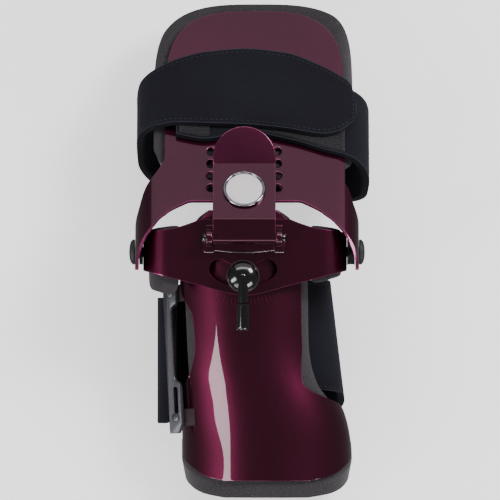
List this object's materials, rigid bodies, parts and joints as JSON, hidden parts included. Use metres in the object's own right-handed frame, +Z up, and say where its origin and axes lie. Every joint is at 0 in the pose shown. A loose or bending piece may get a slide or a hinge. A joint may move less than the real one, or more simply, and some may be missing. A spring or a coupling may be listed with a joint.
{
  "type": "bowling wrist positioner glove",
  "caption": "Rigid bowling glove: painted forearm and hand shells on a swivelling, tilting yoke, foam lined, with hand and wrist straps and a cup lever.",
  "frame": {"origin": "on the floor under the middle of the object's bounding box, lying on its two straps", "axes": "+Y from the forearm to the fingers, +Z up, +X to the right seen from above"},
  "size_m": [0.1204, 0.257, 0.0848],
  "materials": {
    "shell_paint": "candy burgundy gloss paint on aluminium",
    "foam": "charcoal closed-cell foam",
    "strap": "black laminated loop fabric",
    "bar_metal": "grey satin paint, bare at one edge",
    "steel": "plain steel",
    "black_metal": "black, semi-gloss",
    "badge_rim": "bright chrome",
    "badge_face": "bare pearl white disc"
  },
  "bodies": {
    "forearm": {"forearm_shell": "shell_paint", "forearm_pad": "foam", "strap_bar": "bar_metal", "bar_rivet_front": "steel", "bar_rivet_rear": "steel", "wrist_strap": "strap", "swivel_rivet": "black_metal", "clamp_stud": "steel", "clamp_washer": "black_metal"},
    "yoke": {"yoke_plate": "shell_paint", "wing_pad_left": "foam", "wing_pad_right": "foam", "pivot_spacer_left": "black_metal", "pivot_spacer_right": "black_metal", "hinge_bracket": "shell_paint"},
    "hand": {"hand_shell": "shell_paint", "hand_pad": "foam", "hand_strap": "strap", "pivot_cap_left": "black_metal", "pivot_cap_right": "black_metal"},
    "lever": {"cup_lever": "shell_paint", "badge_rim": "badge_rim", "badge_face": "badge_face", "lever_pin": "black_metal"},
    "clamp": {"clamp_hub": "black_metal", "clamp_grip": "black_metal"}
  },
  "joints": [
    {"name": "yoke_swivel", "type": "hinge", "parent": "forearm", "child": "yoke", "pos_m": [-0.0033, 0.00059, 0.07203], "axis": [0, -0.225, 0.9744], "range_deg": [-6, 6]},
    {"name": "hand_tilt", "type": "hinge", "parent": "yoke", "child": "hand", "pos_m": [-0.0023, -0.00285, 0.04249], "axis": [-1, 0, 0], "range_deg": [0, 25]},
    {"name": "lever_lift", "type": "hinge", "parent": "yoke", "child": "lever", "pos_m": [-0.0027, -0.00426, 0.07973], "axis": [1, 0, 0], "range_deg": [0, 60]},
    {"name": "clamp_turn", "type": "hinge", "parent": "forearm", "child": "clamp", "pos_m": [-0.0033, -0.02104, 0.06703], "axis": [0, -0.225, 0.9744], "range_deg": [-90, 90]}
  ]
}
